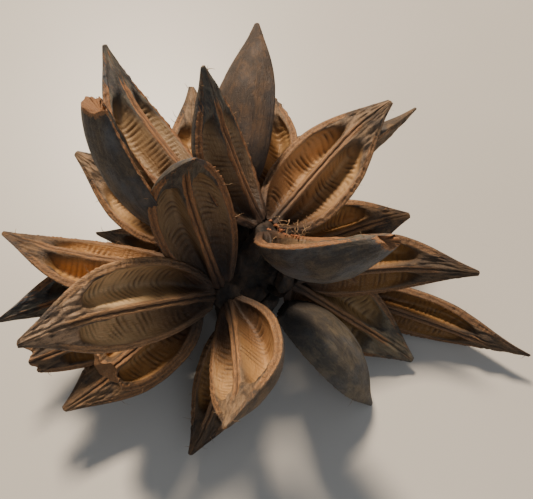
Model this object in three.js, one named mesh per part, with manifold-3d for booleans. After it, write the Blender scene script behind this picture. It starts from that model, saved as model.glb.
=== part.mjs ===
// A dried seed head: woody three-valved pods that have split open, set all round a short cut stem.
// Millimetres, +Z up. The cut face of the stem lies in the plane z = 0, centred on the Z axis.
import * as THREE from 'three';
import { mergeVertices } from 'three/addons/utils/BufferGeometryUtils.js';
import Module from 'manifold-3d';

const wasm = await Module();
wasm.setup();
const { Manifold } = wasm;

// Driving dimensions
const STEM_RADIUS = 17; // the cut stem, at its face
const CORE_RADIUS = 15; // the stem where the pod stalks leave it
const CORE_TOP = 86; // height of the stem's rounded end
const STALK_RADIUS = 5.5; // a pod's stalk
const STALK_FLARE = 1.3; // a stalk's radius where it leaves the core, in stalk radii
const STALK_TAPER = 0.35; // how much of that it loses on its way to the cup
const STALK_DROP = 4; // how far below its cup a stalk leaves the core
const STALK_STEPS = 5; // sections along a stalk
const STALK_SIDES = 8; // flats round a stalk
const CUP_RADIUS = 7.5; // the knob at the stalk's end that the valves grow from
const CUP_DEPTH = 7;
const CUP_SIDES = 10; // flats round a cup
const CORE_SIDES = 16; // flats round the core
const POD_RADIUS = 25; // a closed pod's greatest radius
const WALL = 4.2; // a valve's woody wall, seen as its rim
const SEPTUM_HALF = 2.1; // half the thickness of the partition down a valve's middle
const WALL_LIMIT = 0.3; // the wall is never thicker than this share of the valve's radius
const SEPTUM_LIMIT = 0.2; // nor half the partition thicker than this one
const SEPTUM_SINK = 0.2; // how far the partition's edge sits below the pod's axis, in pod radii
const HALF_ANGLE = 60; // a valve is a third of a pod: this many degrees to each side
const ARC_STEPS = 6; // flats round a valve's back
const HOOK_START = 0.55; // where a bent tip begins, as a share of the valve
const CUT_TOLERANCE = 0.02; // how far a cut face may be straightened
const GAP = 0.3; // clear space between pieces that touch

// A hollow's floor between rim and partition: [share of the way across, share of the rim's angle]
const FLOOR = [[0.35, 0.68], [0.75, 0.26]];

// The cup's outline: [radius in cup radii, height in mm above its middle]
const CUP_PROFILE = [[0.85, -0.7 * CUP_DEPTH], [1, -0.4 * CUP_DEPTH], [0.95, -1], [0.55, 0.5]];
const CUP_DOME = 1; // height of the cup's rounded top above its middle

// The core's outline: [radius in mm, share of its height]
const CORE_PROFILE = [
  [STEM_RADIUS, 0],
  [STEM_RADIUS, 0.12],
  [CORE_RADIUS, 0.3],
  [CORE_RADIUS, 0.75],
  [CORE_RADIUS * 0.8, 0.9],
  [CORE_RADIUS * 0.4, 0.98],
  [0, 1],
];

// Along a valve: [place from base to tip, radius in pod radii, how deep its two hollows are scooped]
const STATIONS = [
  [0.04, 0.38, 0],
  [0.1, 0.6, 0.4],
  [0.2, 0.84, 0.95],
  [0.32, 0.97, 1],
  [0.45, 1, 1],
  [0.58, 0.94, 1],
  [0.68, 0.8, 0.85],
  [0.76, 0.64, 0.35],
  [0.83, 0.47, 0],
  [0.91, 0.27, 0],
  [1, 0.08, 0],
];

// Each pod: the middle of its cup, and the direction of its axis as azimuth and elevation.
// Each valve: turn about that axis (0 is the upper side), lean away from it, and length.
// hook bends its tip inward by that much, twist winds it, roll tips it sideways, and broken is the
// share of its length that is left where the tip has snapped off.
const PODS = [
  { name: 'a', cup: [16, 6, 100], azimuth: 39, elevation: 54, valves: [
    { turn: 303, lean: 47, length: 88, roll: -20, radius: 23 },
    { turn: 195, lean: 50, length: 102, radius: 26 },
    { turn: 63, lean: 47, length: 103, broken: 0.91 },
  ] },
  { name: 'b', cup: [-6, -28, 90], azimuth: -99, elevation: 58, valves: [
    { turn: 13, lean: 47, length: 90, roll: 25, hook: 20, radius: 24 },
    { turn: 102, lean: 43, length: 106, roll: -10, radius: 26 },
    { turn: 211, lean: 26, length: 94, roll: 15 },
  ] },
  { name: 'c', cup: [-24, 12, 88], azimuth: 114, elevation: 34, valves: [
    { turn: 341, lean: 43, length: 120, roll: -60, radius: 22, broken: 0.83 },
    { turn: 214, lean: 52, length: 98, roll: -40 },
  ] },
  { name: 'd', cup: [2, 30, 82], azimuth: 84, elevation: -2, valves: [
    { turn: 1, lean: 25, length: 104, roll: -25, radius: 22 },
    { turn: 153, lean: 4, length: 96 },
  ] },
  { name: 'e', cup: [28, 14, 56], azimuth: 18, elevation: 4, valves: [
    { turn: 295, lean: 29, length: 114, radius: 22 },
    { turn: 207, lean: 24, length: 94 },
  ] },
  { name: 'f', cup: [28, -12, 70], azimuth: -30, elevation: 8, valves: [
    { turn: 195, lean: 47, length: 100, roll: 15, radius: 26 },
    { turn: 250, lean: 37, length: 106, roll: -15, hook: 12, radius: 23 },
  ] },
  { name: 'g', cup: [54, 2, 28], azimuth: -36, elevation: 28, valves: [
    { turn: 207, lean: 38, length: 124, twist: 60, radius: 18 },
  ] },
  { name: 'h', cup: [-22, -18, 60], azimuth: -126, elevation: 26, valves: [
    { turn: 124, lean: 37, length: 113, radius: 22, broken: 0.83 },
    { turn: 158, lean: 45, length: 94 },
    { turn: 148, lean: 11, length: 82, broken: 0.76 },
  ] },
  { name: 'i', cup: [-2, -24, 48], azimuth: -111, elevation: 12, valves: [
    { turn: 186, lean: 36, length: 80, radius: 20 },
  ] },
  { name: 'j', cup: [-30, -6, 82], azimuth: 156, elevation: 36, valves: [
    { turn: 207, lean: 36, length: 98, radius: 23 },
  ] },
  { name: 'k', cup: [18, -22, 58], azimuth: -42, elevation: -28, valves: [
    { turn: 207, lean: 12, length: 92, roll: 125, radius: 23 },
  ] },
  { name: 'l', cup: [-30, 4, 50], azimuth: -129, elevation: 16, valves: [
    { turn: 107, lean: 35, length: 106, radius: 23 },
  ] },
  { name: 'm', cup: [-12, 26, 94], azimuth: 93, elevation: 34, valves: [
    { turn: 247, lean: 38, length: 108, roll: -20 },
    { turn: 189, lean: 48, length: 96, roll: 10 },
  ] },
  { name: 'n', cup: [10, 30, 54], azimuth: 65, elevation: -22, valves: [
    { turn: 10, lean: 14, length: 92, radius: 21 },
    { turn: 120, lean: 22, length: 86, radius: 22 },
    { turn: 240, lean: 22, length: 94, radius: 22 },
  ] },
  { name: 'o', cup: [-16, 28, 52], azimuth: 120, elevation: -20, valves: [
    { turn: 0, lean: 12, length: 92, radius: 21 },
    { turn: 120, lean: 20, length: 80, radius: 20 },
    { turn: 240, lean: 22, length: 92, radius: 22 },
  ] },
  { name: 'p', cup: [-28, -4, 38], azimuth: 168, elevation: -4, valves: [
    { turn: 100, lean: 24, length: 80, radius: 20 },
    { turn: 225, lean: 22, length: 88, radius: 22 },
  ] },
];

function direction(azimuth, elevation) {
  const a = THREE.MathUtils.degToRad(azimuth);
  const e = THREE.MathUtils.degToRad(elevation);
  return new THREE.Vector3(Math.cos(e) * Math.cos(a), Math.cos(e) * Math.sin(a), Math.sin(e));
}

// The outline of a valve's section, as [across, inward] pairs. The pod's axis is at 0, 0.
function section(radius, scoop, grow) {
  const outline = [];
  const wall = Math.min(WALL, radius * WALL_LIMIT) + grow;
  const half = Math.min(SEPTUM_HALF, radius * SEPTUM_LIMIT) + grow;
  const edge = -radius * SEPTUM_SINK + grow;
  const back = radius + grow;
  const rim = THREE.MathUtils.degToRad(HALF_ANGLE) + grow / radius;
  for (let step = 0; step <= ARC_STEPS; step += 1) {
    const angle = rim * (1 - (2 * step) / ARC_STEPS);
    outline.push([Math.sin(angle) * back, -Math.cos(angle) * back]);
  }
  const inner = radius - wall;
  const side = [];
  const flat = [[Math.sin(rim) * inner, -Math.cos(rim) * inner], [half, edge]];
  for (const [share, angle] of FLOOR) {
    const deep = [Math.sin(rim * angle) * inner, -Math.cos(rim * angle) * inner];
    const y = THREE.MathUtils.lerp(flat[0][0], flat[1][0], share);
    const z = THREE.MathUtils.lerp(flat[0][1], flat[1][1], share);
    side.push([THREE.MathUtils.lerp(y, deep[0], scoop), THREE.MathUtils.lerp(z, deep[1], scoop)]);
  }
  const right = [flat[0], ...side, flat[1]];
  for (const [y, z] of right) outline.push([-y, z]);
  for (const [y, z] of right.reverse()) outline.push([y, z]);
  return outline;
}

// A closed solid through rings of equal length, with a flat cap on each end.
function loft(rings) {
  const count = rings[0].length;
  const positions = rings.flat().flatMap((point) => point.toArray());
  const index = [];
  for (let ring = 0; ring + 1 < rings.length; ring += 1) {
    for (let k = 0; k < count; k += 1) {
      const a = ring * count + k;
      const b = ring * count + (k + 1) % count;
      index.push(a, a + count, b, b, a + count, b + count);
    }
  }
  for (const [first, flip] of [[0, false], [(rings.length - 1) * count, true]]) {
    for (let k = 1; k + 1 < count; k += 1) {
      const triangle = [first, first + k, first + k + 1];
      index.push(...(flip ? triangle.reverse() : triangle));
    }
  }
  const geometry = new THREE.BufferGeometry();
  geometry.setAttribute('position', new THREE.Float32BufferAttribute(positions, 3));
  geometry.setIndex(index);
  return geometry;
}

// Turns an outline of [radius, height] pairs about the Z axis.
function lathe(outline, sides) {
  const points = outline.map(([radius, height]) => new THREE.Vector2(radius, height));
  return new THREE.LatheGeometry(points, sides).rotateX(Math.PI / 2);
}

function toSolid(geometry) {
  const plain = geometry.clone();
  plain.deleteAttribute('normal');
  plain.deleteAttribute('uv');
  const merged = mergeVertices(plain, 1e-4);
  return new Manifold(new wasm.Mesh({
    numProp: 3,
    vertProperties: new Float32Array(merged.attributes.position.array),
    triVerts: new Uint32Array(merged.index.array),
  }));
}

// A valve along +X from the cup's middle, its back at -Z and its hollows open towards +Z.
function valveGeometry({ length, radius = POD_RADIUS, hook = 0, twist = 0, broken = 1 }, grow) {
  const stations = STATIONS.filter(([place]) => place <= broken);
  const rings = stations.map(([place, fullness, scoop], number) => {
    const last = number === stations.length - 1;
    const along = place * length + (number === 0 ? -grow : 0) + (last ? grow : 0);
    const bend = Math.max(0, (place - HOOK_START) / (1 - HOOK_START));
    const rise = hook * (bend * bend - place);
    const turn = THREE.MathUtils.degToRad(twist) * place;
    return section(radius * fullness, scoop, grow).map(([across, inward]) => {
      const point = new THREE.Vector3(0, across, inward);
      point.applyAxisAngle(new THREE.Vector3(1, 0, 0), turn);
      return point.add(new THREE.Vector3(along, 0, rise));
    });
  });
  return loft(rings);
}

// The woody cup under a pod, along +Z with its middle at the origin.
function cupGeometry(grow) {
  const outline = [
    [0, -CUP_DEPTH - grow],
    [STALK_RADIUS + grow, -CUP_DEPTH - grow],
    ...CUP_PROFILE.map(([share, height]) => [CUP_RADIUS * share + grow, height + grow]),
    [0, CUP_DOME + grow],
  ];
  return lathe(outline, CUP_SIDES);
}

// A direction that no stalk runs along, to measure its sides from.
const OFF_AXIS = new THREE.Vector3(0.2, 0.1, 1);

// A stalk that leaves the core level with its pod and curves into the cup from behind.
// It is a chain of convex spans, so a tight bend can't fold through itself.
function stalkSolid({ cup, azimuth, elevation }, grow) {
  const end = new THREE.Vector3(...cup);
  const axis = direction(azimuth, elevation);
  const start = new THREE.Vector3(0, 0, Math.min(cup[2] - STALK_DROP, CORE_TOP - CORE_RADIUS));
  const bottom = end.clone().addScaledVector(axis, -CUP_DEPTH - GAP + 2 * grow);
  const control = end.clone().addScaledVector(axis, -3 * CUP_DEPTH);
  const curve = new THREE.QuadraticBezierCurve3(start, control, bottom);
  const rings = [];
  for (let step = 0; step <= STALK_STEPS; step += 1) {
    const place = step / STALK_STEPS;
    const tangent = curve.getTangent(place);
    const across = new THREE.Vector3().crossVectors(tangent, OFF_AXIS).normalize();
    const other = new THREE.Vector3().crossVectors(tangent, across);
    const radius = STALK_RADIUS * (STALK_FLARE - STALK_TAPER * place) + grow;
    const ring = [];
    for (let side = 0; side < STALK_SIDES; side += 1) {
      const angle = (side / STALK_SIDES) * 2 * Math.PI;
      ring.push(curve.getPoint(place)
        .addScaledVector(across, Math.cos(angle) * radius)
        .addScaledVector(other, Math.sin(angle) * radius)
        .toArray());
    }
    rings.push(ring);
  }
  const spans = rings.slice(1).map((ring, before) => Manifold.hull([...rings[before], ...ring]));
  return Manifold.union(spans);
}

// The core: the stem with its flat cut face below and a rounded end above.
function coreGeometry(grow) {
  const outline = CORE_PROFILE.map(([radius, share]) => {
    const height = CORE_TOP * share + (share > 0 ? grow : -grow);
    return [share < 1 ? radius + grow : 0, height];
  });
  return lathe([[0, -grow], ...outline], CORE_SIDES);
}

// Places a pod's own frame: +Z along its axis, +X towards its upper side.
function podFrame({ cup, azimuth, elevation }) {
  const axis = direction(azimuth, elevation);
  const upper = direction(azimuth, elevation + 90);
  const side = new THREE.Vector3().crossVectors(axis, upper);
  const frame = new THREE.Matrix4().makeBasis(upper, side, axis);
  return frame.setPosition(...cup);
}

// Turns a valve from +X to where it leans away from its pod's axis.
function valveFrame({ turn, lean, roll = 0 }) {
  const toRadians = THREE.MathUtils.degToRad;
  const frame = new THREE.Matrix4().makeRotationZ(toRadians(turn));
  frame.multiply(new THREE.Matrix4().makeRotationY(toRadians(lean) - Math.PI / 2));
  return frame.multiply(new THREE.Matrix4().makeRotationX(toRadians(roll)));
}

function largest(solid) {
  return solid.decompose().sort((a, b) => b.volume() - a.volume())[0];
}

// What is left of a solid beside the pieces that are there already.
function clearOf(solid, others) {
  return largest(solid.subtract(Manifold.union(others))).simplify(CUT_TOLERANCE);
}

function toMesh(name, solid, material) {
  const { vertProperties, triVerts } = solid.getMesh();
  const geometry = new THREE.BufferGeometry();
  geometry.setAttribute('position', new THREE.BufferAttribute(vertProperties, 3));
  geometry.setIndex(new THREE.BufferAttribute(triVerts, 1));
  geometry.computeVertexNormals();
  const mesh = new THREE.Mesh(geometry, material);
  mesh.name = name;
  return mesh;
}

const stemMaterial = new THREE.MeshStandardMaterial({ color: 0x4a3a2e, roughness: 0.9 });
const cupMaterial = new THREE.MeshStandardMaterial({ color: 0x5a4636, roughness: 0.85 });
const valveMaterial = new THREE.MeshStandardMaterial({ color: 0x7c5f42, roughness: 0.75 });

const group = new THREE.Group();
const cups = [];
const stalks = [];
const valves = [];

for (const pod of PODS) {
  const frame = podFrame(pod);
  const cup = toSolid(cupGeometry(0).applyMatrix4(frame));
  group.add(toMesh(`pod_${pod.name}_cup`, cup, cupMaterial));
  cups.push(toSolid(cupGeometry(GAP).applyMatrix4(frame)));
  stalks.push(stalkSolid(pod, 0));
}

const branched = toSolid(coreGeometry(0)).add(Manifold.union(stalks));
const stem = clearOf(branched, cups);
group.add(toMesh('stem', stem, stemMaterial));

const aroundStem = PODS.map((pod) => stalkSolid(pod, GAP));
aroundStem.push(toSolid(coreGeometry(GAP)));
for (const pod of PODS) {
  pod.valves.forEach((valve, number) => {
    const frame = podFrame(pod).multiply(valveFrame(valve));
    const whole = toSolid(valveGeometry(valve, 0).applyMatrix4(frame));
    const left = clearOf(whole, [...cups, ...aroundStem, ...valves]);
    group.add(toMesh(`pod_${pod.name}_valve_${number + 1}`, left, valveMaterial));
    valves.push(whole, toSolid(valveGeometry(valve, GAP).applyMatrix4(frame)));
  });
}

export default group;
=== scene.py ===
"""A dried seed head of split woody pods, on a pale counter.

Lengths are in metres, unless a name ends in _MM. Valves are worked out in millimetres.
"""
import math

import bmesh
import bpy
import numpy as np
from mathutils import Matrix, Vector
from mathutils.bvhtree import BVHTree


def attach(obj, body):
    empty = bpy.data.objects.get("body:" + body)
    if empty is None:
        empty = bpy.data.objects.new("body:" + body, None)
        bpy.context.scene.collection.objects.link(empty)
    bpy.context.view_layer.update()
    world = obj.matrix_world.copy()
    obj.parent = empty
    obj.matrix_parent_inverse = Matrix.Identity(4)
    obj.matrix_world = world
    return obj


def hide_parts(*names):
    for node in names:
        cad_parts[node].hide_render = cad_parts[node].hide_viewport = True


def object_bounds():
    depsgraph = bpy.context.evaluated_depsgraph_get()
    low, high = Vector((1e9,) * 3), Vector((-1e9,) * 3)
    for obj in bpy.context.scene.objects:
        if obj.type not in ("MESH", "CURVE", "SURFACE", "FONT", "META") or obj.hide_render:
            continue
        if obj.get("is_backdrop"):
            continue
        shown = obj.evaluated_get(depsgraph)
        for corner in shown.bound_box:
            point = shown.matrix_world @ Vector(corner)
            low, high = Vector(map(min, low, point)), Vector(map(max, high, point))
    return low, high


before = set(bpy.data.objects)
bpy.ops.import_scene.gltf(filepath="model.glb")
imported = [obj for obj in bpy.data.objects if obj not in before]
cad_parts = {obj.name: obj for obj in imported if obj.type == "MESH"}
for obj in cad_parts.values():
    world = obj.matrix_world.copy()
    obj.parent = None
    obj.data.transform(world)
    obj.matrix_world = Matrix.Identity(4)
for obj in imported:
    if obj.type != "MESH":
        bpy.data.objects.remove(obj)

bounds_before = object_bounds()
MM = 0.001
SEED = 7

# How finely a valve's skin is made
ALONG_STEPS = 170
BACK_STEPS = 44
RIM_STEPS = 6
HOLLOW_STEPS = 20
SEPTUM_STEPS = 8

# Proportions of the CAD valve, which the frame's meshes were built to
CUP_RISE_MM = 3.04  # a cup's middle above the mean of its corners
WALL_MM = 4.2
SEPTUM_HALF_MM = 2.1
WALL_LIMIT = 0.3
SEPTUM_LIMIT = 0.2
SEPTUM_SINK = 0.2
HALF_ANGLE = math.radians(60)
HOOK_START = 0.55
FLOOR = [(0.35, 0.68), (0.75, 0.26)]
RADII_MM = range(16, 29)

# Along a valve: place from base to tip, radius in valve radii, how deep its hollows are scooped
STATIONS = np.array([
    (0.04, 0.38, 0), (0.1, 0.6, 0.4), (0.2, 0.84, 0.95), (0.32, 0.97, 1),
    (0.45, 1, 1), (0.58, 0.94, 1), (0.68, 0.8, 0.85), (0.76, 0.64, 0.35),
    (0.83, 0.47, 0), (0.91, 0.27, 0), (1, 0.08, 0),
])

# Reading a valve back from its mesh
LEAST_MATCH = 0.3  # the share of a valve's ring corners that must sit on the section
RING_MM = 0.1  # how near a station a corner must lie to belong to its ring
COARSE_TURNS = np.radians(np.arange(0, 360, 3.0))
FINE_TURNS = np.radians(np.arange(-4, 4.01, 0.2))
COARSE_SPREAD, FINE_SPREAD = 2.0, 0.05  # square mm by which a corner may miss

# Valves that aren't whole and straight: the share that is left, mm of hook, degrees of twist
SHAPES = {
    "pod_a_valve_3": {"broken": 0.91},
    "pod_c_valve_1": {"broken": 0.83},
    "pod_h_valve_1": {"broken": 0.83},
    "pod_h_valve_3": {"broken": 0.76},
    "pod_b_valve_1": {"hook": 20},
    "pod_f_valve_2": {"hook": 12},
    "pod_g_valve_1": {"twist": 60},
}

# The seed marks: rungs across each hollow
RIB_DEPTH_MM = 0.5
RIB_PITCH_MM = 3.0
RIB_BOW_MM = 3.0
RIB_WANDER_MM = 1.1
DEEP_RIBS = {
    "pod_a_valve_2": 0.8, "pod_f_valve_1": 0.8, "pod_d_valve_2": 0.7, "pod_b_valve_3": 0.55,
}

# A hollow: where its middle and its two ends lie along the valve, how blunt its ends and sides are,
# how far in its lip lies, and how sharp the lip is
HOLLOW_MIDDLE = 0.39
HOLLOW_REACH = 0.325
END_BLUNTNESS = 3
SIDE_BLUNTNESS = 3.2
LIP_INSET = 0.12
LIP_SHARPNESS = 9.0
LUMP_MM = 0.3

# Relief, and the radius below which it shrinks with the valve
BACK_FIBRE_MM = 0.16
BACK_SWELL_MM = 0.45
BACK_RADIUS_MM = 12
RIM_CROWN_MM = 0.45
RIM_RIDGE_MM = 0.5
RIM_SEAM_MM = 0.5
RIM_LUMP_MM = 0.16
RIM_RADIUS_MM = 10
FRAY_MM = 0.7
CREST_MM = 0.55
CREST_SEAM_MM = 0.8
CREST_WAVE_MM = 0.1
KNOT_MM = 0.36
KNOT_FURROW_MM = 0.24
BEAK_RADIUS_MM = 8
BEAK_START, BEAK_BLEND = 0.5, 0.12

# A snapped end: how much of the valve is ragged, how ragged, and how deep its face is sunk
TORN_SHARE = 0.1
JAG_MM = 1.8
JAG_FINE_MM = 0.45
JAG_BACK_MM = 1
SUNK_FACE_MM = 5.0
TIP_CAP_MM = 0.6

# How far a valve may sway, and its tip be bent out of line
SWAY_MM = 1.2
TIP_BEND_MM = 5.0
BEND_START = 0.62

# How far a fine valve may stand off its CAD shape
SNUG_MM = 1.3  # near its base
TIP_ROOM_MM = 9.0  # how much more at its tip
NEIGHBOUR_MM = 0.4  # where a neighbour lies
ROOM_START, ROOM_BLEND = 0.45, 0.2
LOWEST_MM = 0.1  # how high above the counter a valve has to stay

# Telling inside from outside: which way the line runs, how far it steps past a skin, when it stops
SIDELONG = Vector((0.31, 0.52, 0.80))
STEP_PAST = 0.001
MOST_CROSSINGS = 24

# Loose detail
FIBRES_PER_VALVE = 7
STRAND_STEPS = 9
STRAND_SIDES = 5
ROOT_MM = 0.6  # how far a strand is rooted in the wood
STRAND_TIP = 0.2  # a strand's thickness at its tip, as a share of that at its root
CRUMBS = 70
MOUTH_CURLS = 16
LOOSE_SEED = SEED + 500

# The counter and the light
COUNTER_HALF = 3.0
LIT_POINT = (0, 0.01, 0.07)
ROOM_LIGHT = (0.84, 0.91, 1.0)
ROOM_STRENGTH = 0.235

# The camera
SENSOR_WIDTH_MM = 36
LENS_MM = 47.3
CAMERA_PLACE = (0.0153, -0.1681, 0.4159)
CAMERA_TILT = math.radians(27)

# The bark
BARK_SEED = 100
STEM_VOXEL_MM = 1.3
CUP_VOXEL_MM = 0.7
BARK_SWELL_MM = 0.55

# The colours of each kind of valve
TONES = {
    "brown": {
        "back": (0.060, 0.037, 0.021), "mottle": (0.170, 0.095, 0.040), "rim": (0.388, 0.176, 0.059),
        "tip": (0.540, 0.300, 0.115), "base": (0.225, 0.098, 0.032),
        "beak": (0.275, 0.168, 0.086), "sheen_and_bloom_share": 0.3,
    },
    # a lit copy of brown, with painted light: hollow, rim and beak paler as if in full sun
    "pale": {
        "back": (0.060, 0.037, 0.021), "mottle": (0.190, 0.112, 0.052), "rim": (0.440, 0.225, 0.090),
        "tip": (0.800, 0.540, 0.270), "base": (0.250, 0.125, 0.045),
        "beak": (0.400, 0.250, 0.140), "sheen_and_bloom_share": 0.2,
    },
    "grey": {
        "back": (0.062, 0.049, 0.035), "mottle": (0.160, 0.119, 0.070), "rim": (0.320, 0.149, 0.053),
        "tip": (0.436, 0.261, 0.104), "base": (0.204, 0.104, 0.037),
        "beak": (0.184, 0.140, 0.081), "sheen_and_bloom_share": 0.5,
    },
    "blue": {
        "back": (0.036, 0.030, 0.026), "mottle": (0.102, 0.074, 0.044), "rim": (0.388, 0.158, 0.050),
        "tip": (0.430, 0.275, 0.135), "base": (0.165, 0.088, 0.040),
        "beak": (0.121, 0.104, 0.074), "sheen_and_bloom_share": 0.7,
    },
    "dark": {
        "back": (0.038, 0.022, 0.012), "mottle": (0.107, 0.054, 0.022), "rim": (0.272, 0.122, 0.040),
        "tip": (0.369, 0.171, 0.041), "base": (0.145, 0.057, 0.014),
        "beak": (0.116, 0.067, 0.031), "sheen_and_bloom_share": 0.2,
    },
    "amber": {
        "back": (0.050, 0.029, 0.015), "mottle": (0.136, 0.070, 0.027), "rim": (0.349, 0.153, 0.047),
        "tip": (0.590, 0.300, 0.095), "base": (0.225, 0.092, 0.024),
        "beak": (0.184, 0.099, 0.041), "sheen_and_bloom_share": 0.2,
    },
}
BLUE_SHEEN_AND_BLOOM = (0.115, 0.122, 0.130)  # blue-grey over the backs: the wood's grey weathering with a painted sheen
DARK_GRAIN = (0.030, 0.020, 0.014)
LIGHT_GRAIN = (0.34, 0.25, 0.17)
SEED_COAT = (0.62, 0.43, 0.25)  # what clings to the hollows
# painted shade in the grooves between the rungs of the hollows
RUNG_SHADE = (0.10, 0.052, 0.022)
BEAK_PITS = (0.045, 0.03, 0.022)
RIM_GRAIN = (0.13, 0.07, 0.035)
RIM_WORN = (0.55, 0.36, 0.20)
SEAM = (0.02, 0.012, 0.008)
# near-black at the valves' base: partly stained wood, partly painted shade where the pod's middle lies in
# shadow
BASE_STAIN_AND_SHADE = (0.014, 0.008, 0.005)
# the stem and cups: the bark's own dark colour, made darker still with painted shade of the shadowed middle
BARK_TONES_AND_SHADE = (0.008, 0.005, 0.003), (0.045, 0.025, 0.013)
BARK_FLECK = (0.12, 0.062, 0.028)
COUNTER_TONES = (0.545, 0.495, 0.430), (0.60, 0.548, 0.478)
FIBRE_TONES = (0.17, 0.09, 0.04), (0.46, 0.29, 0.15)
CRUMB_TONES = (0.14, 0.045, 0.018), (0.46, 0.16, 0.055)

# Valves that aren't brown
KIND = {
    "pod_a_valve_1": "blue", "pod_a_valve_3": "blue", "pod_b_valve_1": "blue",
    "pod_c_valve_1": "blue", "pod_l_valve_1": "blue", "pod_m_valve_1": "blue",
    "pod_f_valve_1": "grey", "pod_k_valve_1": "grey",
    "pod_d_valve_1": "dark", "pod_f_valve_2": "dark", "pod_g_valve_1": "dark",
    "pod_h_valve_1": "dark", "pod_i_valve_1": "dark", "pod_p_valve_1": "dark",
    "pod_p_valve_2": "dark",
    "pod_e_valve_2": "amber", "pod_h_valve_2": "amber", "pod_h_valve_3": "amber",
    "pod_j_valve_1": "amber",
    # the lit copy of brown: painted sunlight on this valve's hollow
    "pod_b_valve_2": "pale",
}

loose_ends = []  # where a valve's edge fibres start, and which way they head


# ---- reading the frame

def corners_of(node):
    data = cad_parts[node].data
    flat = np.empty(len(data.vertices) * 3)
    data.vertices.foreach_get("co", flat)
    return flat.reshape(-1, 3) / MM


def farthest_face(node, middle):
    """A valve's flat end: the face whose plane lies farthest from the cup."""
    points = corners_of(node)
    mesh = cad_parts[node].data
    mesh.calc_loop_triangles()
    a, b, c = (points[[tri.vertices[k] for tri in mesh.loop_triangles]] for k in range(3))
    normals = np.cross(b - a, c - a)
    area = np.linalg.norm(normals, axis=1)
    real = area > 1e-3
    a, area, normals = a[real], area[real], normals[real]
    units = normals / area[:, None]
    reach = np.einsum("ij,ij->i", a - middle, units)
    best = int(np.argmax(reach))
    same = (units @ units[best] > 0.999) & (reach > reach[best] - 0.1)
    along = normals[same].sum(axis=0)
    along /= np.linalg.norm(along)
    return along, float((a[best] - middle) @ along)


def cup_middle(valve):
    """The middle of the cup that a valve grows from. A cup's axis is the way it is thinnest."""
    points = np.unique(corners_of(valve[:6] + "cup").round(3), axis=0)
    centre = points.mean(axis=0)
    axis = np.linalg.svd(points - centre, full_matrices=False)[2][2]
    along, _ = farthest_face(valve, centre)
    return centre + axis * CUP_RISE_MM * (1 if axis @ along > 0 else -1)


def hollow_corners(radius, scoop):
    """The corners of half a hollow: the rim's inner edge, two on the floor, the partition's edge."""
    inner = radius - np.minimum(WALL_MM, radius * WALL_LIMIT)
    rim = np.stack([np.sin(HALF_ANGLE) * inner, -np.cos(HALF_ANGLE) * inner], -1)
    edge = np.stack([np.minimum(SEPTUM_HALF_MM, radius * SEPTUM_LIMIT), -radius * SEPTUM_SINK], -1)
    corners = [rim]
    for share, angle in FLOOR:
        turn = HALF_ANGLE * angle
        deep = np.stack([np.sin(turn) * inner, -np.cos(turn) * inner], -1)
        straight = rim + (edge - rim) * share
        corners.append(straight + (deep - straight) * np.asarray(scoop)[..., None])
    corners.append(edge)
    return corners


def section_corners(radius, scoop):
    arc = [(math.sin(a) * radius, -math.cos(a) * radius) for a in HALF_ANGLE * np.linspace(1, -1, 7)]
    right = [tuple(p) for p in hollow_corners(np.float64(radius), scoop)]
    return np.array(arc + right + [(-y, z) for y, z in right])


def rise_at(place, hook):
    bend = np.maximum(0, (place - HOOK_START) / (1 - HOOK_START))
    return hook * (bend**2 - place)


def settle(valve):
    """Reads a valve's place from the frame: the cup's middle, its axes as rows, length and radius."""
    shape = {"broken": 1, "hook": 0, "twist": 0, **SHAPES.get(valve, {})}
    middle = cup_middle(valve)
    along, reach = farthest_face(valve, middle)
    length = reach / shape["broken"]
    up = np.cross(along, (0.3, 0.5, 1.0))
    up /= np.linalg.norm(up)
    side = np.cross(up, along)
    offsets = corners_of(valve) - middle
    rings = []
    for place, fullness, scoop in STATIONS[1:9]:
        here = offsets[np.abs(offsets @ along - place * length) < RING_MM]
        if len(here):
            flat = np.unique(np.stack([here @ side, here @ up], -1).round(2), axis=0)
            rings.append((place, fullness, scoop, flat))

    def scores(turns, radius, spread):
        """How well the rings' corners fit the section, for each turn about the valve's length."""
        total = np.zeros(len(turns))
        cos, sin = np.cos(turns)[:, None], np.sin(turns)[:, None]
        for place, fullness, scoop, flat in rings:
            y = cos * flat[:, 0] + sin * flat[:, 1]
            z = cos * flat[:, 1] - sin * flat[:, 0] - rise_at(place, shape["hook"])
            wind = math.radians(shape["twist"]) * place
            local = np.stack([
                math.cos(wind) * y + math.sin(wind) * z, math.cos(wind) * z - math.sin(wind) * y,
            ], -1)
            gap = ((local[:, :, None] - section_corners(radius * fullness, scoop)) ** 2).sum(-1).min(-1)
            total += np.exp(-gap / spread).sum(-1)
        return total

    def best_of(turns, radii, spread):
        table = np.array([scores(turns, radius, spread) for radius in radii])
        row, column = np.unravel_index(table.argmax(), table.shape)
        return table.max(), turns[column], radii[row]

    _, near, radius = best_of(COARSE_TURNS, RADII_MM, COARSE_SPREAD)
    matched, turn, radius = best_of(near + FINE_TURNS, (radius - 1, radius, radius + 1), FINE_SPREAD)
    axes = np.array([
        along, math.cos(turn) * side + math.sin(turn) * up, math.cos(turn) * up - math.sin(turn) * side,
    ])
    share = matched / max(1, sum(len(ring[3]) for ring in rings))
    if share < LEAST_MATCH:
        raise ValueError(f"{valve} doesn't match its section: {share:.2f} at radius {radius}")
    return middle, axes, length, float(radius), shape


# ---- building a valve

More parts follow.
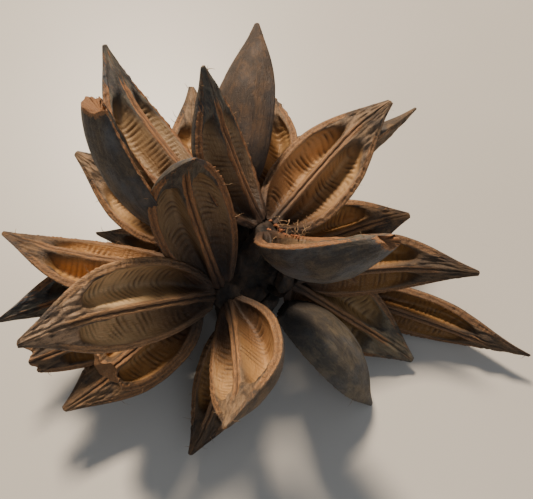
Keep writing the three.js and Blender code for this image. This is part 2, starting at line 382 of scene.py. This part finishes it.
def between(values, place):
    """A curve through the stations that never overshoots them."""
    known = STATIONS[:, 0]
    steps = np.diff(values) / np.diff(known)
    slopes = np.zeros(len(known))
    rising = steps[:-1] * steps[1:] > 0
    total = np.where(rising, steps[:-1] + steps[1:], 1)
    slopes[1:-1] = np.where(rising, 2 * steps[:-1] * steps[1:] / total, 0)
    slopes[0], slopes[-1] = steps[0], steps[-1]
    k = np.clip(np.searchsorted(known, place) - 1, 0, len(known) - 2)
    width = known[k + 1] - known[k]
    t = np.clip((place - known[k]) / width, 0, 1)
    return (
        (2 * t**3 - 3 * t**2 + 1) * values[k] + (t**3 - 2 * t**2 + t) * width * slopes[k]
        + (3 * t**2 - 2 * t**3) * values[k + 1] + (t**3 - t**2) * width * slopes[k + 1]
    )


def ripple(rng, u, v, rate_u, rate_v, waves=9):
    """Smooth irregular waves, about -1 to 1, over two directions."""
    total = np.zeros(np.broadcast(u, v).shape)
    for _ in range(waves):
        a, b = rng.uniform(0.35, 1.3, 2) * rng.choice([-1, 1], 2)
        total = total + np.sin(u * rate_u * a + v * rate_v * b + rng.uniform(0, 7))
    return total / math.sqrt(waves)


def shrunk(radii, full_mm):
    """Relief is full where a valve is wide, and shrinks with its radius where it is slim."""
    return np.minimum(1, radii / full_mm)[:, None]


def through(corners, s):
    """A smooth curve through four corners, at the shares s of its length."""
    p = [2 * corners[0] - corners[1], *corners, 2 * corners[3] - corners[2]]
    out = []
    for share in s:
        k = min(int(share * 3), 2)
        t = share * 3 - k
        a, b, c, d = p[k:k + 4]
        out.append(0.5 * (
            2 * b + (c - a) * t + (2 * a - 5 * b + 4 * c - d) * t**2 + (3 * b - a - 3 * c + d) * t**3
        ))
    return np.stack(out, 1)


def hollow_side(rng, length, radii, place, depth):
    """Half of a valve's open face, from rim to partition, with the seed marks pressed into it."""
    s = np.linspace(0, 1, HOLLOW_STEPS + 1)
    flat = through(hollow_corners(radii, np.zeros_like(radii)), s)
    deep = through(hollow_corners(radii, np.ones_like(radii)), s)
    x = place[:, None] * length
    reach = HOLLOW_REACH * rng.uniform(0.93, 1.05)
    along = np.abs((place[:, None] - HOLLOW_MIDDLE) / reach) ** END_BLUNTNESS
    across = np.abs(2 * s[None] - 1) ** SIDE_BLUNTNESS
    edge = 1 - along - across + 0.05 * ripple(rng, x, s * 8, 0.4, 1.0)
    hollow = 1 / (1 + np.exp(-LIP_SHARPNESS * (edge - LIP_INSET)))
    curve = flat + (deep - flat) * hollow[..., None]
    tangent = np.gradient(curve, axis=1)
    tangent /= np.linalg.norm(tangent, axis=2, keepdims=True) + 1e-9
    normal = np.stack([-tangent[..., 1], tangent[..., 0]], -1)
    normal *= np.where(normal[..., 1:] < 0, -1, 1)
    wander = RIB_WANDER_MM * ripple(rng, x, s * 6, 0.16, 1.0, 6)
    phase = (x + RIB_BOW_MM * (2 * s - 1) ** 2 + wander) / RIB_PITCH_MM
    patches = np.clip(0.75 + 0.85 * ripple(rng, x, s * 12, 0.45, 1.0), 0.12, 1.5)
    rung = np.abs(np.sin(np.pi * phase))
    strength = np.clip(hollow * 1.4 - 0.4, 0, 1) * patches * np.clip(s / 0.3, 0.35, 1)
    lumps = LUMP_MM * ripple(rng, x, s * 9, 0.5, 1.0)
    relief = strength * depth * (rung - 0.6) + lumps * (1 - hollow)
    curve = curve + normal * relief[..., None] * shrunk(radii, BACK_RADIUS_MM)[..., None]
    # the third value: how much painted shade darkens the grooves between the rungs
    return curve, hollow, (1 - rung) * strength * min(1.2, depth / RIB_DEPTH_MM)


def tree_of(nodes):
    """A search tree over the CAD shapes of some nodes, in millimetres."""
    corners, faces, first = [], [], 0
    for node in nodes:
        own = corners_of(node)
        corners += [tuple(p) for p in own]
        faces += [tuple(first + k for k in face.vertices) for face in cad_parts[node].data.polygons]
        first += len(own)
    return BVHTree.FromPolygons(corners, faces)


def inside(tree, point):
    """Whether a point lies inside a closed body: a line from it crosses the skin an odd number of times."""
    crossings = 0
    while crossings < MOST_CROSSINGS:
        hit = tree.ray_cast(point, SIDELONG)[0]
        if hit is None:
            break
        crossings += 1
        point = hit + SIDELONG * STEP_PAST
    return crossings % 2 == 1


def squeezed(valve, points, place):
    """Presses a valve back to its CAD shape where a neighbour has been left no room."""
    own = tree_of([valve])
    others = tree_of([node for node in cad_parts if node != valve])
    room = SNUG_MM + TIP_ROOM_MM * np.clip((place - ROOM_START) / ROOM_BLEND, 0, 1) ** 2
    for row, free in enumerate(room):
        for column, point in enumerate(points[row]):
            point = Vector(point)
            near, normal, _, gap = own.find_nearest(point)
            if gap < NEIGHBOUR_MM or ((point - near).dot(normal) <= 0 and inside(own, point)):
                continue
            crowded = others.ray_cast(near, point - near, gap + NEIGHBOUR_MM)[0] is not None
            limit = NEIGHBOUR_MM if crowded else free
            if gap > limit:
                points[row, column] = near + (point - near) * (max(0.0, 2 * limit - gap) / gap)
    return points


def valve_mesh(valve, rng):
    """A fine valve on the place and proportions of its CAD valve."""
    middle, axes, length, radius, shape = settle(valve)
    place = np.linspace(STATIONS[0, 0], shape["broken"], ALONG_STEPS)
    fullness = between(STATIONS[:, 1], place)
    radii = radius * fullness
    x = place[:, None] * length
    depth = DEEP_RIBS.get(valve, RIB_DEPTH_MM)
    zero = np.zeros_like(x)

    # each strip: across, inward, and how much it is hollow, rim, and groove; groove is painted shade
    # between the rungs in the hollows, and the dark seam on the rims and partition
    strips = []
    angle = HALF_ANGLE * np.linspace(1, -1, BACK_STEPS + 1)[None]
    edge_in = np.cos(angle / HALF_ANGLE * np.pi / 2) ** 0.4
    fibres = BACK_FIBRE_MM * ripple(rng, angle * 30, x, 1.0, 0.05, 14)
    fibres = fibres + BACK_SWELL_MM * ripple(rng, angle * 3, x, 1.0, 0.09)
    back = radii[:, None] + fibres * edge_in * shrunk(radii, BACK_RADIUS_MM)
    none = zero + 0 * angle
    strips.append((np.sin(angle) * back, -np.cos(angle) * back, none, none, none))

    wall = np.minimum(WALL_MM, radii * WALL_LIMIT)
    ragged = [
        0.5 * ripple(rng, x, zero, 0.9, 1.0) + 0.35 * ripple(rng, x, zero, 3.0, 1.0) for _ in range(2)
    ]
    sides = [hollow_side(rng, length, radii, place, depth) for _ in range(2)]

    def rim_strip(sign, ridge, reverse):
        s = np.linspace(0, 1, RIM_STEPS + 1)[None]
        r = radii[:, None] - s * wall[:, None]
        crown = np.sin(np.pi * s)
        seam = np.exp(-(((s - 0.55) / 0.13) ** 2))
        torn_edge = ripple(rng, x, zero, 2.4, 1.0)
        torn_edge = torn_edge * np.clip(ripple(rng, x, zero, 0.16, 1.0) - 0.25, 0, 1)
        swell = crown * (RIM_CROWN_MM + RIM_RIDGE_MM * ridge) - RIM_SEAM_MM * seam
        swell = swell * shrunk(radii, RIM_RADIUS_MM)
        swell = swell + RIM_LUMP_MM * crown * ripple(rng, x, s * 14, 0.5, 1.0)
        fray = FRAY_MM * (1 - s) ** 2 * shrunk(radii, RIM_RADIUS_MM) * torn_edge
        across = np.sin(HALF_ANGLE) * (r + fray) + np.cos(HALF_ANGLE) * swell
        inward = -np.cos(HALF_ANGLE) * (r + fray) + np.sin(HALF_ANGLE) * swell
        one = zero + 1 + 0 * s
        strip = (sign * across, inward, 0 * one, one, 0.55 * seam * one)
        return tuple(part[:, ::-1] for part in strip) if reverse else strip

    def hollow_strip(sign, made, reverse):
        curve, hollow, groove = made
        strip = (sign * curve[..., 0], curve[..., 1], hollow, 0 * hollow, groove)
        return tuple(part[:, ::-1] for part in strip) if reverse else strip

    strips.append(rim_strip(-1, ragged[0], False))
    strips.append(hollow_strip(-1, sides[0], False))
    s = np.linspace(-1, 1, SEPTUM_STEPS + 1)[None]
    half = np.minimum(SEPTUM_HALF_MM, radii * SEPTUM_LIMIT)[:, None]
    wave = CREST_WAVE_MM * ripple(rng, x, zero, 1.1, 1.0)
    crest = CREST_MM * np.exp(-((np.abs(s) - 0.6) / 0.3) ** 2) - CREST_SEAM_MM * np.exp(-(s / 0.16) ** 2)
    level = -radii[:, None] * SEPTUM_SINK + crest * np.minimum(1, half / 2) + 0.3 * wave
    one = zero + 1 + 0 * s
    strips.append((half * s + wave * (1 - s**2), level, 0 * one, one, np.exp(-(s / 0.2) ** 2) * one))
    strips.append(hollow_strip(1, sides[1], True))
    strips.append(rim_strip(1, ragged[1], True))

    across, inward, hollow, rim, groove = (
        np.concatenate([strip[k][:, :-1] for strip in strips], 1) for k in range(5)
    )
    count = across.shape[1]
    around = np.linspace(0, 2 * np.pi, count, endpoint=False)[None]
    x = x + 0 * across

    # the beak beyond the hollows: knotted and rough on its open side
    open_side = np.zeros(count)
    open_side[BACK_STEPS + RIM_STEPS:count - RIM_STEPS] = 1
    beak = open_side[None] * (1 - hollow) * np.clip((place - BEAK_START) / BEAK_BLEND, 0, 1)[:, None]
    knots = KNOT_MM * ripple(rng, x, across, 0.35, 0.6) + KNOT_FURROW_MM * ripple(rng, x, across, 0.15, 2.6)
    inward = inward + beak * knots * shrunk(radii, BEAK_RADIUS_MM)
    land = open_side[None] * (1 - hollow) * (1 - beak)
    rim = np.maximum(rim * (1 - 0.65 * np.clip((place[:, None] - 0.72) / 0.1, 0, 1)), land)

    # a snapped end is ragged
    if shape["broken"] < 1:
        torn = np.clip((place - shape["broken"] + TORN_SHARE) / TORN_SHARE, 0, 1)[:, None] ** 2
        jag = JAG_MM * ripple(rng, around, zero, 3, 1.0) - JAG_BACK_MM
        jag = jag + JAG_FINE_MM * ripple(rng, around, zero, 12, 1.0)
        x = x + torn * np.clip(jag, -6, 1.5)
        rim = np.maximum(rim, np.clip(torn * 1.5 - 0.5, 0, 1) * (hollow < 0.5))

    # hook, twist and a little sway along the whole valve
    bent = (np.maximum(0, place - BEND_START) / (1 - BEND_START))[:, None] ** 2
    sway = rng.uniform(-SWAY_MM, SWAY_MM) * np.sin(np.pi * place)[:, None]
    sway = sway + rng.uniform(-1, 1) * TIP_BEND_MM * bent
    wind = math.radians(shape["twist"]) * place[:, None]
    y = np.cos(wind) * across - np.sin(wind) * inward + sway
    z = np.sin(wind) * across + np.cos(wind) * inward + rise_at(place, shape["hook"])[:, None]
    z = z + rng.uniform(-0.4, 0.8) * TIP_BEND_MM * bent
    points = middle + x[..., None] * axes[0] + y[..., None] * axes[1] + z[..., None] * axes[2]

    points = squeezed(valve, points, place)
    points[..., 2] = np.maximum(points[..., 2], LOWEST_MM)
    for row in rng.integers(ALONG_STEPS // 5, ALONG_STEPS - 2, FIBRES_PER_VALVE):
        column = rng.choice([0, BACK_STEPS, BACK_STEPS + RIM_STEPS, count - RIM_STEPS])
        outward = points[row, column] - points[row].mean(0)
        heading = outward / (np.linalg.norm(outward) + 1e-9) + axes[0] * rng.uniform(-0.6, 1.2)
        loose_ends.append((points[row, column], heading))
    cap = -SUNK_FACE_MM if shape["broken"] < 1 else TIP_CAP_MM
    ends = [points[0].mean(0), points[-1].mean(0) + axes[0] * cap]
    vertices = np.concatenate([points.reshape(-1, 3), ends]) * MM
    ring = np.arange(ALONG_STEPS - 1)[:, None] * count
    k = np.arange(count)[None]
    following = (k + 1) % count
    quads = [ring + k, ring + k + count, ring + following + count, ring + following]
    quads = np.stack(quads, -1).reshape(-1, 4)
    low, high, last = ALONG_STEPS * count, ALONG_STEPS * count + 1, (ALONG_STEPS - 1) * count
    fans = [(low, int(a), int(b)) for a, b in zip(k[0], following[0])]
    fans += [(high, int(last + b), int(last + a)) for a, b in zip(k[0], following[0])]
    mesh = bpy.data.meshes.new(valve + "_wood")
    mesh.from_pydata(vertices.tolist(), [], quads.tolist() + fans)
    mesh.polygons.foreach_set("use_smooth", [True] * len(mesh.polygons))

    def padded(values, at_end):
        return np.concatenate([(values + 0 * across).ravel(), at_end])

    grain = np.stack([x, across, inward], -1).reshape(-1, 3) / 10 + rng.uniform(-50, 50, 3)
    grain = np.concatenate([grain, grain[:1], grain[-1:]])
    store(mesh, "grain", "FLOAT_VECTOR", "vector", grain)
    zone = [padded(hollow, [0, 0]), padded(rim, [0, 1]), padded(beak, [0, 1]), np.ones(len(vertices))]
    zone = np.stack(zone, -1)
    store(mesh, "zone", "FLOAT_COLOR", "color", zone)
    store(mesh, "place", "FLOAT", "value", padded(place[:, None], [0, 1]))
    store(mesh, "groove", "FLOAT", "value", padded(groove, [0, 0]))
    return mesh


def store(mesh, name, kind, field, values):
    """Keeps a value for each vertex, for the materials to read."""
    layer = mesh.attributes.new(name, kind, "POINT")
    layer.data.foreach_set(field, np.asarray(values, float).ravel())


# ---- materials

class Graph:
    """A small helper round a material's node tree."""

    def __init__(self, name):
        self.material = bpy.data.materials.new(name)
        self.material.use_nodes = True
        self.tree = self.material.node_tree
        self.surface = self.tree.nodes["Principled BSDF"]

    def node(self, kind, inputs=None, **settings):
        made = self.tree.nodes.new(kind)
        for key, value in settings.items():
            setattr(made, key, value)
        for key, value in (inputs or {}).items():
            self.feed(made.inputs[key], value)
        return made

    def feed(self, socket, value):
        if isinstance(value, bpy.types.NodeSocket):
            self.tree.links.new(value, socket)
        elif isinstance(value, tuple) and len(value) == 3 and len(socket.default_value) == 4:
            socket.default_value = (*value, 1)
        else:
            socket.default_value = value

    def attribute(self, name, output="Fac"):
        return self.node("ShaderNodeAttribute", attribute_name=name).outputs[output]

    def noise(self, vector, scale, stretch=(1, 1, 1), detail=5, roughness=0.6, distortion=0.0):
        mapped = self.node("ShaderNodeMapping", {"Vector": vector, "Scale": stretch}).outputs[0]
        inputs = {
            "Vector": mapped, "Scale": scale, "Detail": detail,
            "Roughness": roughness, "Distortion": distortion,
        }
        return self.node("ShaderNodeTexNoise", inputs).outputs["Fac"]

    def spread(self, value, low, high, to_low=0.0, to_high=1.0):
        inputs = {"Value": value, "From Min": low, "From Max": high, "To Min": to_low, "To Max": to_high}
        return self.node("ShaderNodeMapRange", inputs, interpolation_type="SMOOTHSTEP").outputs[0]

    def sum(self, a, b, operation="ADD"):
        return self.node("ShaderNodeMath", {0: a, 1: b}, operation=operation, use_clamp=True).outputs[0]

    def blend(self, share, a, b, mode="MIX"):
        made = self.node("ShaderNodeMix", data_type="RGBA", blend_type=mode)
        for index, value in ((0, share), (6, a), (7, b)):
            self.feed(made.inputs[index], value)
        return made.outputs[2]

    def finish(self, colour, roughness, height, depth, strength=0.9):
        self.feed(self.surface.inputs["Base Color"], colour)
        self.feed(self.surface.inputs["Roughness"], roughness)
        bump = self.node("ShaderNodeBump", {"Height": height, "Distance": depth, "Strength": strength})
        self.feed(self.surface.inputs["Normal"], bump.outputs[0])
        return self.material


def valve_material(kind):
    tone = TONES[kind]
    g = Graph("valve_wood_" + kind)
    grain = g.attribute("grain", "Vector")
    zone = g.node("ShaderNodeSeparateColor", {"Color": g.attribute("zone", "Color")}).outputs
    place = g.attribute("place")
    fibre = g.noise(grain, 3.0, (0.22, 4.2, 4.2), 7, 0.65)
    hair = g.noise(grain, 10.0, (0.12, 4.2, 4.2), 4, 0.6)
    mottle = g.noise(grain, 1.3, (0.7, 1.2, 1.2), 7, 0.68, 0.6)
    fine = g.noise(grain, 13, (1, 1, 1), 4, 0.65)

    back = g.blend(g.spread(mottle, 0.40, 0.66), tone["back"], tone["mottle"])
    # blue-grey patches over the back: weathering, with a painted sheen
    sheen_and_bloom_mask = g.spread(g.noise(grain, 0.8, (0.5, 1, 1), 4, 0.55), 0.42, 0.72, 0, tone["sheen_and_bloom_share"])
    back = g.blend(sheen_and_bloom_mask, back, BLUE_SHEEN_AND_BLOOM)
    back = g.blend(g.spread(fibre, 0.5, 0.72, 0, 0.75), back, DARK_GRAIN)
    back = g.blend(g.spread(hair, 0.58, 0.75, 0, 0.35), back, LIGHT_GRAIN)

    inside = g.blend(g.spread(place, 0.12, 0.62), tone["base"], tone["tip"])
    inside = g.blend(g.spread(mottle, 0.45, 0.72, 0, 0.5), inside, tone["base"])
    inside = g.blend(g.spread(fine, 0.45, 0.75, 0, 0.35), inside, SEED_COAT)
    # painted shade in the grooves between the rungs
    inside = g.blend(g.sum(g.attribute("groove"), 0.62, "MULTIPLY"), inside, RUNG_SHADE)

    beak = g.blend(g.spread(mottle, 0.36, 0.62), tone["back"], tone["beak"])
    beak = g.blend(g.spread(fine, 0.52, 0.70, 0, 0.55), beak, BEAK_PITS)
    beak = g.blend(g.spread(fibre, 0.55, 0.7, 0, 0.4), beak, tone["rim"])

    rim = g.blend(g.spread(hair, 0.36, 0.62), RIM_GRAIN, tone["rim"])
    rim = g.blend(g.spread(fine, 0.5, 0.72, 0, 0.4), rim, RIM_WORN)
    rim = g.blend(g.sum(g.attribute("groove"), 0.9, "MULTIPLY"), rim, SEAM)
    rim = g.blend(g.spread(mottle, 0.58, 0.75, 0, 0.55), rim, tone["back"])

    ragged = g.sum(zone[1], g.spread(fibre, 0.3, 0.7, -0.25, 0.25), "ADD")
    colour = g.blend(zone[0], back, inside)
    colour = g.blend(zone[2], colour, beak)
    colour = g.blend(g.spread(ragged, 0.35, 0.65), colour, rim)
    # darkens each valve towards its base: stained wood and painted shade of the shadowed middle
    base_stain_and_shade = g.spread(place, 0.06, 0.36, 0.88, 0.0)
    colour = g.blend(base_stain_and_shade, colour, BASE_STAIN_AND_SHADE)
    shine = g.spread(zone[0], 0, 1, 0.66, 0.44)
    rough = g.sum(shine, g.spread(fine, 0.3, 0.8, -0.08, 0.18), "ADD")
    height = g.sum(g.sum(fibre, 0.6, "MULTIPLY"), g.sum(fine, 0.35, "MULTIPLY"), "ADD")
    return g.finish(colour, rough, height, 0.0011)


def bark_material():
    g = Graph("stem_bark")
    spot = g.node("ShaderNodeTexCoord").outputs["Object"]
    coarse = g.noise(spot, 160, (1, 1, 0.35), 7, 0.66, 0.5)
    fine = g.noise(spot, 900, (1, 1, 0.3), 4, 0.6)
    # bark colour with painted shade of the pod's dark middle
    colour = g.blend(g.spread(coarse, 0.38, 0.66), *BARK_TONES_AND_SHADE)
    colour = g.blend(g.spread(fine, 0.58, 0.74, 0, 0.35), colour, BARK_FLECK)
    height = g.sum(g.sum(coarse, 0.6, "MULTIPLY"), g.sum(fine, 0.3, "MULTIPLY"), "ADD")
    return g.finish(colour, g.spread(fine, 0.3, 0.8, 0.72, 0.92), height, 0.0016)


def counter_material():
    g = Graph("counter")
    spot = g.node("ShaderNodeTexCoord").outputs["Object"]
    cloud = g.noise(spot, 2.5, (1, 1, 1), 4, 0.5)
    colour = g.blend(g.spread(cloud, 0.3, 0.7), *COUNTER_TONES)
    return g.finish(colour, 0.38, cloud, 0.0001, 0.05)


def add(mesh, material):
    mesh.materials.append(material)
    piece = bpy.data.objects.new(mesh.name, mesh)
    bpy.context.collection.objects.link(piece)
    return piece


# ---- the pods

materials = {kind: valve_material(kind) for kind in TONES}
bark = bark_material()
for number, node in enumerate(sorted(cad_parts)):
    if "valve" in node:
        mesh = valve_mesh(node, np.random.default_rng(SEED + number))
        wood = add(mesh, materials[KIND.get(node, "brown")])
        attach(wood, "root")
        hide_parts(node)


def rough_bark(node, voxel_mm, rng):
    """A rough, fibrous skin over a CAD solid."""
    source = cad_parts[node]
    piece = add(source.data.copy(), bark)
    piece.name = node + "_bark"
    remesh = piece.modifiers.new("even", "REMESH")
    remesh.mode = "VOXEL"
    remesh.voxel_size = voxel_mm * MM
    graph = bpy.context.evaluated_depsgraph_get()
    mesh = bpy.data.meshes.new_from_object(piece.evaluated_get(graph))
    piece.modifiers.clear()
    piece.data = mesh
    piece.data.materials.clear()
    piece.data.materials.append(bark)
    count = len(mesh.vertices)
    points, normals = np.empty(count * 3), np.empty(count * 3)
    mesh.vertices.foreach_get("co", points)
    mesh.vertices.foreach_get("normal", normals)
    points, normals = points.reshape(-1, 3), normals.reshape(-1, 3)
    around = np.arctan2(points[:, 1], points[:, 0]) * 9
    bumps = 0.6 * ripple(rng, around, points[:, 2] / MM, 1.6, 0.10)
    bumps = bumps + 0.4 * ripple(rng, points[:, 0] / MM, points[:, 2] / MM, 1.1, 0.9)
    points += normals * (bumps * BARK_SWELL_MM * MM)[:, None]
    points[:, 2] = np.maximum(points[:, 2], 0)
    mesh.vertices.foreach_set("co", points.ravel())
    mesh.polygons.foreach_set("use_smooth", [True] * len(mesh.polygons))
    mesh.update()
    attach(piece, "root")
    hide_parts(node)


for number, node in enumerate(sorted(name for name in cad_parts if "valve" not in name)):
    voxel_mm = STEM_VOXEL_MM if node == "stem" else CUP_VOXEL_MM
    rough_bark(node, voxel_mm, np.random.default_rng(BARK_SEED + number))

# ---- loose fibres at the edges, and crumbs in the mouth of the top pod


def tube(vertices, faces, spine, thickness):
    """Adds a thin tapering strand along a spine of points."""
    first, sides = len(vertices), STRAND_SIDES
    for k, centre in enumerate(spine):
        ahead = spine[min(k + 1, len(spine) - 1)] - spine[max(k - 1, 0)]
        one = np.cross(ahead, (0.31, 0.52, 0.8))
        one /= np.linalg.norm(one) + 1e-9
        two = np.cross(ahead / (np.linalg.norm(ahead) + 1e-9), one)
        radius = thickness * (1 - (1 - STRAND_TIP) * k / (len(spine) - 1))
        for side in range(sides):
            turn = side / sides * 2 * math.pi
            vertices.append((centre + (one * math.cos(turn) + two * math.sin(turn)) * radius) * MM)
    for k in range(len(spine) - 1):
        for side in range(sides):
            a, b = first + k * sides + side, first + k * sides + (side + 1) % sides
            faces.append((a, b, b + sides, a + sides))
    faces.append(tuple(range(first + sides - 1, first - 1, -1)))
    faces.append(tuple(range(first + (len(spine) - 1) * sides, first + len(spine) * sides)))


def strands(name, starts, lengths, thickness, curl, rng, material):
    """One piece of many strands. Lengths and thicknesses are ranges, in millimetres."""
    vertices, faces = [], []
    for start, heading in starts:
        heading = np.array(heading) / (np.linalg.norm(heading) + 1e-9)
        length = rng.uniform(*lengths)
        spine = [np.array(start) - heading * ROOT_MM]
        for _ in range(STRAND_STEPS):
            heading = heading + rng.normal(0, curl, 3)
            heading /= np.linalg.norm(heading)
            step = spine[-1] + heading * length / STRAND_STEPS
            step[2] = max(step[2], 2 * thickness[1])
            spine.append(step)
        tube(vertices, faces, spine, rng.uniform(*thickness))
    mesh = bpy.data.meshes.new(name)
    mesh.from_pydata([tuple(v) for v in vertices], [], faces)
    piece = add(mesh, material)
    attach(piece, "root")


def plain_wood(name, dark, light):
    g = Graph(name)
    spot = g.node("ShaderNodeTexCoord").outputs["Object"]
    grain = g.noise(spot, 700, (1, 1, 1), 4, 0.6)
    return g.finish(g.blend(g.spread(grain, 0.35, 0.65), dark, light), 0.75, grain, 0.0003)


loose_rng = np.random.default_rng(LOOSE_SEED)
fibre_wood = plain_wood("fibre", *FIBRE_TONES)
crumb_wood = plain_wood("crumbs", *CRUMB_TONES)
strands(
    "edge_fibres", loose_ends, lengths=(2.0, 6.5), thickness=(0.10, 0.22), curl=0.22,
    rng=loose_rng, material=fibre_wood,
)

mouth = cup_middle("pod_a_valve_3")
lip = farthest_face("pod_a_valve_3", mouth)[0]
curls = [
    (mouth + lip * loose_rng.uniform(6, 34) + loose_rng.normal(0, 3, 3), loose_rng.normal(0, 1, 3))
    for _ in range(MOUTH_CURLS)
]
strands(
    "mouth_curls", curls, lengths=(7, 17), thickness=(0.16, 0.32), curl=0.5,
    rng=loose_rng, material=fibre_wood,
)


def crumbs():
    """Broken bits of seed coat, lying in the hollows of the top pod."""
    trees = [tree_of([node]) for node in ("pod_a_valve_2", "pod_a_valve_3")]
    made = bmesh.new()
    for _ in range(CRUMBS):
        spot = mouth + lip * loose_rng.uniform(5, 40) + loose_rng.normal(0, 4, 3)
        landed, normal, _, _ = trees[loose_rng.integers(2)].find_nearest(spot)
        size = loose_rng.uniform(0.35, 1.0) * MM
        turn = Matrix.Rotation(loose_rng.uniform(0, 6.28), 4, Vector(loose_rng.normal(0, 1, 3)))
        flattened = Matrix.Diagonal((size, size * 0.7, size * 0.45, 1))
        place = Matrix.Translation((landed + normal * 0.3) * MM) @ turn @ flattened
        ball = bmesh.ops.create_icosphere(made, subdivisions=2, radius=1.0)
        for vertex in ball["verts"]:
            vertex.co = place @ (vertex.co * loose_rng.uniform(0.75, 1.2))
    mesh = bpy.data.meshes.new("crumbs")
    made.to_mesh(mesh)
    made.free()
    piece = add(mesh, crumb_wood)
    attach(piece, "root")


crumbs()

# ---- counter, light and camera

floor_mesh = bpy.data.meshes.new("counter")
far = COUNTER_HALF
floor_mesh.from_pydata(
    [(-far, -far, 0), (far, -far, 0), (far, far, 0), (-far, far, 0)], [], [(0, 1, 2, 3)],
)
floor = add(floor_mesh, counter_material())
floor.location.z = bounds_before[0].z
floor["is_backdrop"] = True


def area_light(name, place, aim, size, power, colour):
    data = bpy.data.lights.new(name, "AREA")
    data.size, data.energy, data.color = size, power, colour
    lamp = bpy.data.objects.new(name, data)
    lamp.location = place
    lamp.rotation_euler = (Vector(aim) - Vector(place)).to_track_quat("-Z", "Y").to_euler()
    bpy.context.collection.objects.link(lamp)


# place, what it is aimed at, size, power in watts, colour
area_light("window", (-0.42, 1.52, 2.12), LIT_POINT, 0.42, 119, (1.0, 0.86, 0.69))
area_light("sky", (0.5, -0.8, 0.9), LIT_POINT, 1.1, 2.8, (0.70, 0.82, 1.0))
world = bpy.data.worlds.new("room")
world.use_nodes = True
world.node_tree.nodes["Background"].inputs["Color"].default_value = (*ROOM_LIGHT, 1)
world.node_tree.nodes["Background"].inputs["Strength"].default_value = ROOM_STRENGTH
bpy.context.scene.world = world

camera_data = bpy.data.cameras.new("camera")
camera_data.sensor_width = SENSOR_WIDTH_MM
camera_data.lens = LENS_MM
camera = bpy.data.objects.new("camera", camera_data)
camera.location = CAMERA_PLACE
camera.rotation_euler = (CAMERA_TILT, 0, 0)
bpy.context.collection.objects.link(camera)
bpy.context.scene.camera = camera


def corners(pair):
    return [list(corner) for corner in pair]


bounds_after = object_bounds()
{"cad": corners(bounds_before), "visual": corners(bounds_after)}
